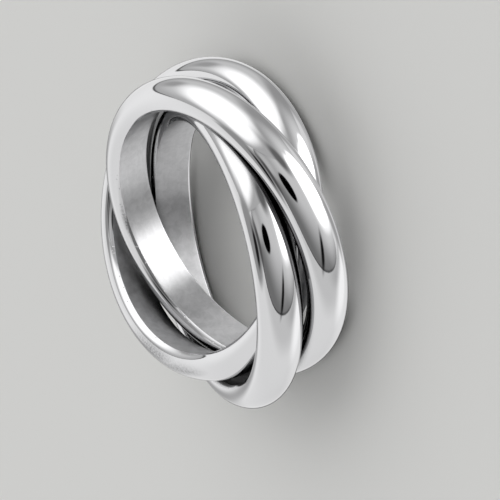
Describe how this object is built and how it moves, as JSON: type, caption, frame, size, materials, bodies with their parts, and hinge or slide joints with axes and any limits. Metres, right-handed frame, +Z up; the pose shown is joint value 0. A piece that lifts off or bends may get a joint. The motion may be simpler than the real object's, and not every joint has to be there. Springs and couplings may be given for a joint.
{
  "type": "rolling ring",
  "caption": "Finger ring of equal plain half-round bands, each linked through the others so that they roll over the finger as it goes on.",
  "frame": {"origin": "middle of the linked set, on the surface that it lies on", "axes": "+Z up and along the way a finger goes through the set; +X away from the side towards which the first band leans"},
  "size_m": [0.0252, 0.0255, 0.0088],
  "materials": {
    "silver": "mirror-polished silver, satin inside the bands"
  },
  "bodies": {
    "first_band": {"first_band": "silver"},
    "second_band": {"second_band": "silver"},
    "third_band": {"third_band": "silver"}
  },
  "joints": [
    {"name": "second_band_roll", "type": "hinge", "parent": "first_band", "child": "second_band", "pos_m": [-0.00132, 0.00006, 0.00397], "axis": [0.0101, 0.2303, 0.9731], "continuous": true},
    {"name": "third_band_roll", "type": "hinge", "parent": "first_band", "child": "third_band", "pos_m": [0.00106, 0.00105, 0.00377], "axis": [0.1473, -0.1499, 0.9777], "continuous": true}
  ]
}
